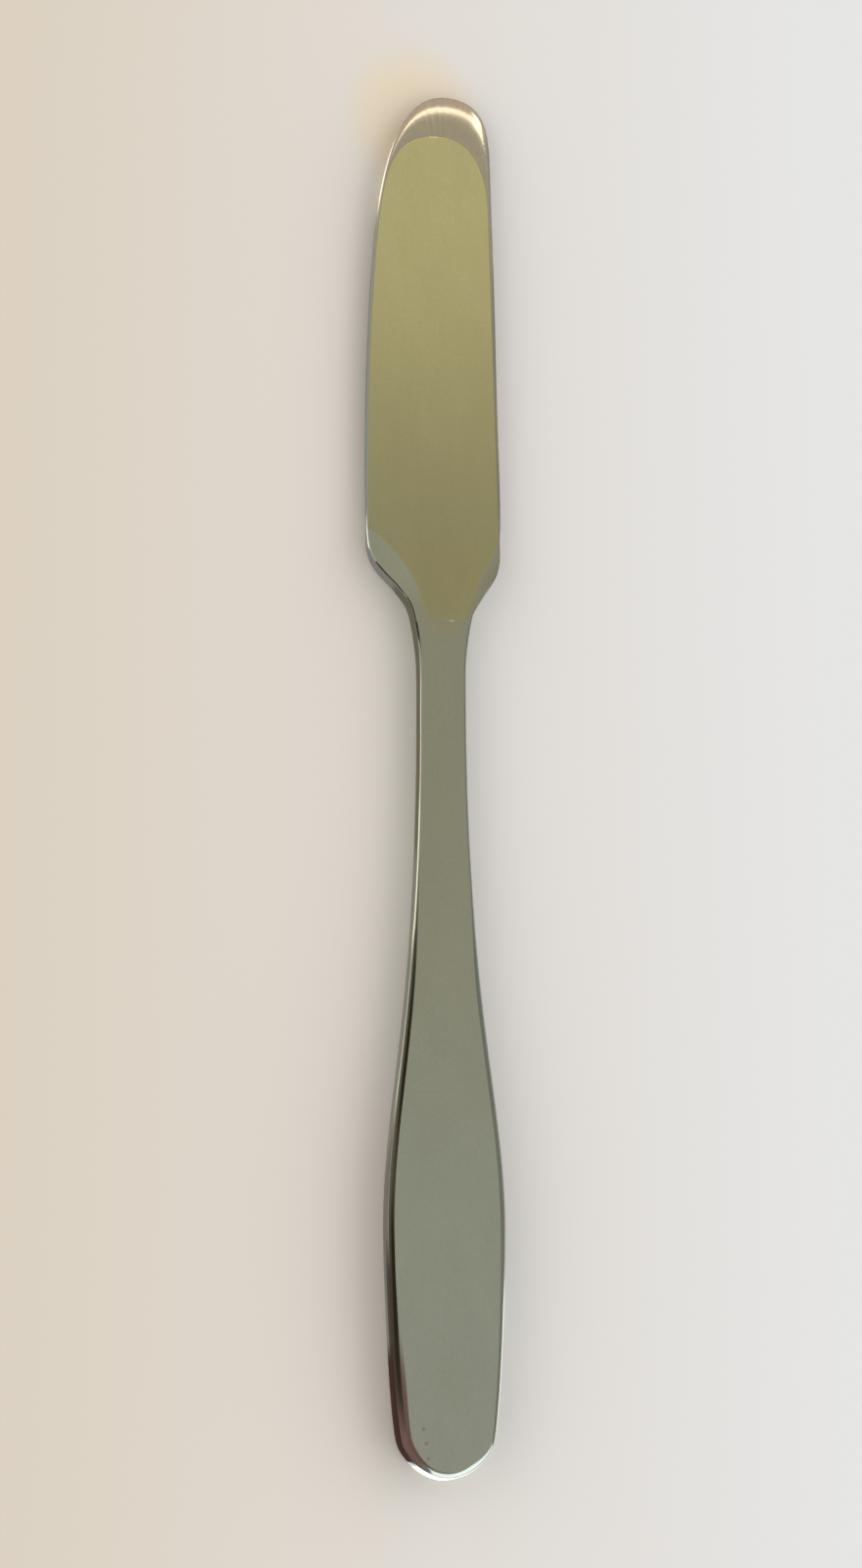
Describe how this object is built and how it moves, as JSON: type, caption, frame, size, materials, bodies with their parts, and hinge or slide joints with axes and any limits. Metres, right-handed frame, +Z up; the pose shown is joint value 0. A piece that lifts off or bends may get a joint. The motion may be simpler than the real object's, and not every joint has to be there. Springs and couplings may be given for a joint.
{
  "type": "butter knife",
  "caption": "Butter knife of polished stainless steel with a straight back, a round-ended blade, a narrow neck and a broad rounded handle.",
  "frame": {"origin": "middle of the knife's box in plan, on the surface that the knife lies on", "axes": "+Y along the knife to the tip of the blade, +X to the straight back of the blade, +Z up from the surface it lies on"},
  "size_m": [0.0168, 0.17, 0.0033],
  "materials": {
    "blade_steel": null,
    "handle_steel": "bright polish with faint handling marks",
    "braze_filler": "silver braze, dull where it lies inside the neck"
  },
  "bodies": {
    "root": {"blade": "blade_steel", "handle": "handle_steel", "braze": "braze_filler"}
  },
  "joints": []
}
